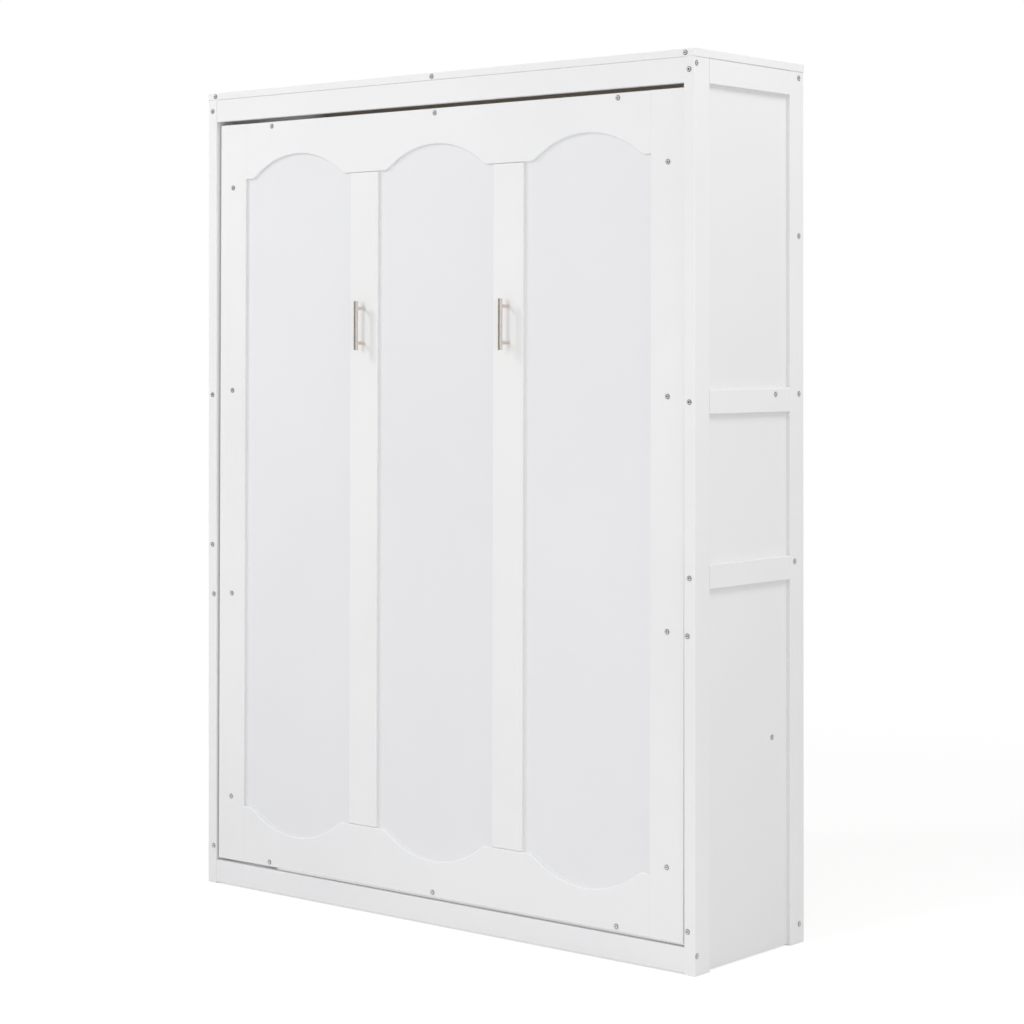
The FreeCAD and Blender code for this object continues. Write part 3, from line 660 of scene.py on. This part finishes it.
def seen_directly(finish):
    """One for camera, glossy and transmission rays, else nothing."""
    path = add_node(finish, "ShaderNodeLightPath")
    seen = path.outputs["Is Camera Ray"]
    for ray in ("Is Glossy Ray", "Is Transmission Ray"):
        either = add_node(finish, "ShaderNodeMath")
        either.operation = "MAXIMUM"
        join(finish, seen, either.inputs[0])
        join(finish, path.outputs[ray], either.inputs[1])
        seen = either.outputs[0]
    return seen


def mixed(finish, factor, first, second):
    """One shader that turns into another as a factor goes from 0 to 1."""
    mix = add_node(finish, "ShaderNodeMixShader")
    join(finish, factor, mix.inputs["Fac"])
    join(finish, first, mix.inputs[1])
    join(finish, second, mix.inputs[2])
    return mix.outputs["Shader"]


def pale_floor(name):
    """Grey to the light that bounces off it; to the eye pale with a shadow, and white farther out."""
    finish, surface = bare_finish(name)
    bounce = add_node(finish, "ShaderNodeBsdfDiffuse", [("Color", floor_bounce)])
    grey = add_node(finish, "ShaderNodeBsdfDiffuse", [("Color", floor_seen)])
    glow = add_node(finish, "ShaderNodeEmission", [("Strength", floor_glow)])
    pale = add_node(finish, "ShaderNodeAddShader")
    white = add_node(finish, "ShaderNodeEmission", [("Color", pure_white), ("Strength", white_level)])
    place = add_node(finish, "ShaderNodeTexCoord")
    distance = add_node(finish, "ShaderNodeVectorMath")
    distance.operation = "LENGTH"
    fade = add_node(finish, "ShaderNodeMapRange", [("From Min", fade_start), ("From Max", fade_end)])
    fade.interpolation_type = "SMOOTHSTEP"
    join(finish, grey.outputs["BSDF"], pale.inputs[0])
    join(finish, glow.outputs["Emission"], pale.inputs[1])
    join(finish, place.outputs["Object"], distance.inputs[0])
    join(finish, distance.outputs["Value"], fade.inputs["Value"])
    shown = mixed(finish, fade.outputs["Result"], pale.outputs["Shader"], white.outputs["Emission"])
    join(finish, mixed(finish, seen_directly(finish), bounce.outputs["BSDF"], shown), surface)
    return finish


floor_sheet = bmesh.new()
bmesh.ops.create_grid(floor_sheet, x_segments=1, y_segments=1, size=floor_size / 2)
studio_floor = make_object("studio_floor", floor_sheet, (pale_floor("studio_floor"),))

# Light
# A white room gives even fill, a front lamp sets the shadow behind each bar, and a sheet softens it.
# Others model the edges, lift the sides and the back, and light what shows under the bed front.
room_fill = 0.54
room = bpy.data.worlds.new("white_room")
room.use_nodes = True
bpy.context.scene.world = room
fill = room.node_tree.nodes["Background"]
fill.inputs["Color"].default_value = pure_white
fill.inputs["Strength"].default_value = room_fill
backdrop = add_node(room, "ShaderNodeBackground", [("Color", pure_white), ("Strength", white_level)])
walls = mixed(room, seen_directly(room), fill.outputs["Background"], backdrop.outputs["Background"])
join(room, walls, room.node_tree.nodes["World Output"].inputs["Surface"])


def soft_lamp(name, place, target, size, power):
    """Square lamp at a place, turned to a target, that isn't seen itself, not in a mirror either."""
    lamp = bpy.data.lights.new(name, "AREA")
    lamp.shape = "SQUARE"
    lamp.size = size
    lamp.energy = power
    holder = bpy.data.objects.new(name, lamp)
    holder.location = place
    holder.rotation_euler = (Vector(target) - Vector(place)).to_track_quat("-Z", "Y").to_euler()
    holder.visible_glossy = False
    holder.visible_camera = False
    bpy.context.scene.collection.objects.link(holder)


soft_lamp("front_lamp", place=(0.3, -6.4, 2.2), target=(0.0, 0.0, 1.3), size=1.1, power=56.0)
soft_lamp("front_sheet", place=(-0.4, -6.0, 2.6), target=(0.0, 0.0, 1.3), size=4.5, power=40.0)
soft_lamp("left_lamp", place=(-3.6, -3.6, 4.6), target=(0.0, -0.2, 1.3), size=1.4, power=88.0)
soft_lamp("right_lamp", place=(4.4, -4.4, 1.6), target=(0.3, -0.1, 1.1), size=2.5, power=30.0)
soft_lamp("side_lamp", place=(3.2, 0.35, 4.8), target=(0.8, 0.0, 1.2), size=1.8, power=62.0)
soft_lamp("low_lamp", place=(4.8, -0.8, 1.2), target=(0.8, 0.0, 0.9), size=2.2, power=28.0)
soft_lamp("back_lamp", place=(-4.4, 3.0, 0.9), target=(-0.5, 0.2, 0.7), size=2.4, power=32.0)
soft_lamp("gap_lamp", place=(-0.66, 0.04, 0.004), target=(-0.66, 0.04, 1.0), size=0.3, power=0.28)

# Dark screen
# A curved band of dark cloth at the height of the handles, at the front left, outside the picture.
# Only mirror-like surfaces see it: it gives the bars a dark side, as such screens do in a studio.
screen_radius = 4.6
screen_start = math.radians(-173.0)
screen_turn = math.radians(112.0)
screen_steps = 28
screen_foot = 1.30
screen_head = 2.05
screen_colour = (0.13, 0.12, 0.115, 1.0)


def dark_cloth(name):
    """Cloth that shows one dark tone, whatever light falls on it."""
    finish, surface = bare_finish(name)
    dim = add_node(finish, "ShaderNodeEmission", [("Color", screen_colour), ("Strength", 1.0)])
    join(finish, dim.outputs["Emission"], surface)
    return finish


band = bmesh.new()
edge_x = screen_radius * math.cos(screen_start)
edge_y = screen_radius * math.sin(screen_start)
ends = [band.verts.new((edge_x, edge_y, level)) for level in (screen_foot, screen_head)]
edge = band.edges.new(ends)
bmesh.ops.spin(band, geom=ends + [edge], cent=(0, 0, 0), axis=(0, 0, 1), angle=screen_turn,
               steps=screen_steps)
screen = make_object("dark_screen", band, (dark_cloth("dark_screen"),))
screen.visible_camera = False
screen.visible_diffuse = False
screen.visible_shadow = False
screen.visible_transmission = False

# Camera
# A long lens level with the chest of a standing viewer, in front and to the right.
# The frame is shifted down so that the posts stay upright in the picture.
lens = 88.06
sensor_width = 36.0
shift_down = 0.16944
camera_place = (4.4858, -5.2529, 1.5392)
camera_rise = math.radians(0.3055)
camera_turn = math.radians(39.922)
view = bpy.data.cameras.new("camera")
view.lens = lens
view.sensor_width = sensor_width
view.shift_y = -shift_down
camera = bpy.data.objects.new("camera", view)
camera.location = camera_place
camera.rotation_euler = (math.pi / 2 + camera_rise, 0.0, camera_turn)
bpy.context.scene.collection.objects.link(camera)
bpy.context.scene.camera = camera
bpy.context.scene.view_settings.view_transform = "Standard"
